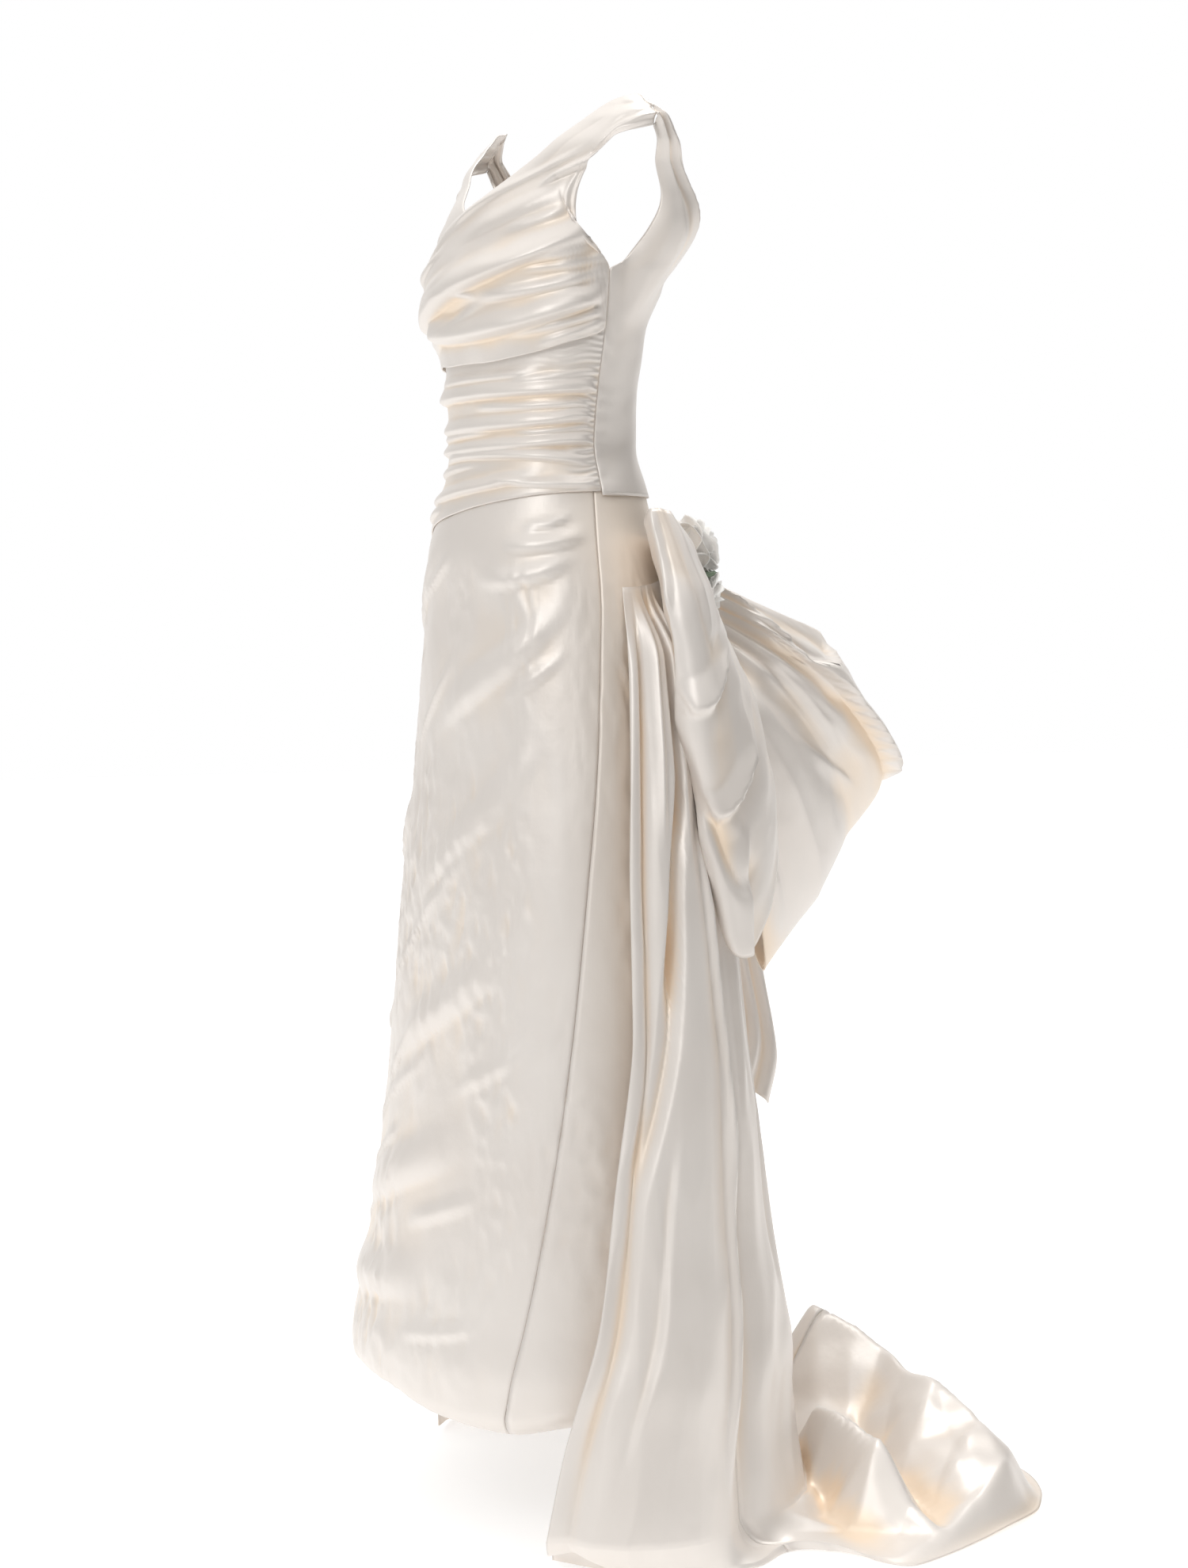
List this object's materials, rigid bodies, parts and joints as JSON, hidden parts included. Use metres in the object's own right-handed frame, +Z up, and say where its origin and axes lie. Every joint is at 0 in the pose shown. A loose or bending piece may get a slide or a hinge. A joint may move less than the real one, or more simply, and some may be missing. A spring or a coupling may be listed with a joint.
{
  "type": "bridal evening gown with train and bow",
  "caption": "Worn satin gown: draped surplice bodice, ruched waist, bubble-hem column skirt, open overskirt with a floor train and a large bow with roses behind.",
  "frame": {"origin": "level where the shoulders hold the straps, on the wearer's upright axis", "axes": "+Z up, the gown's front faces -Y, the wearer's left is +X"},
  "size_m": [0.7427, 0.7117, 1.483],
  "materials": {
    "satin": "heavy ivory satin with a broad soft sheen",
    "petal": "white matt cloth petals",
    "leaf": "dark green matt cloth leaves"
  },
  "bodies": {
    "root": {"bodice_front_left": "satin", "bodice_front_right": "satin", "bodice_back_left": "satin", "bodice_back_right": "satin", "waist_drape": "satin", "skirt_front": "satin", "skirt_back_left": "satin", "skirt_back_right": "satin", "overskirt_side_left": "satin", "overskirt_back_left": "satin", "overskirt_back_right": "satin", "overskirt_side_right": "satin", "bow_knot": "satin", "bow_loop_left": "satin", "bow_loop_right": "satin", "bow_tail": "satin", "rose_upper": "petal", "rose_lower": "petal", "rose_bud": "petal", "leaf_left": "leaf", "leaf_right": "leaf"}
  },
  "joints": []
}
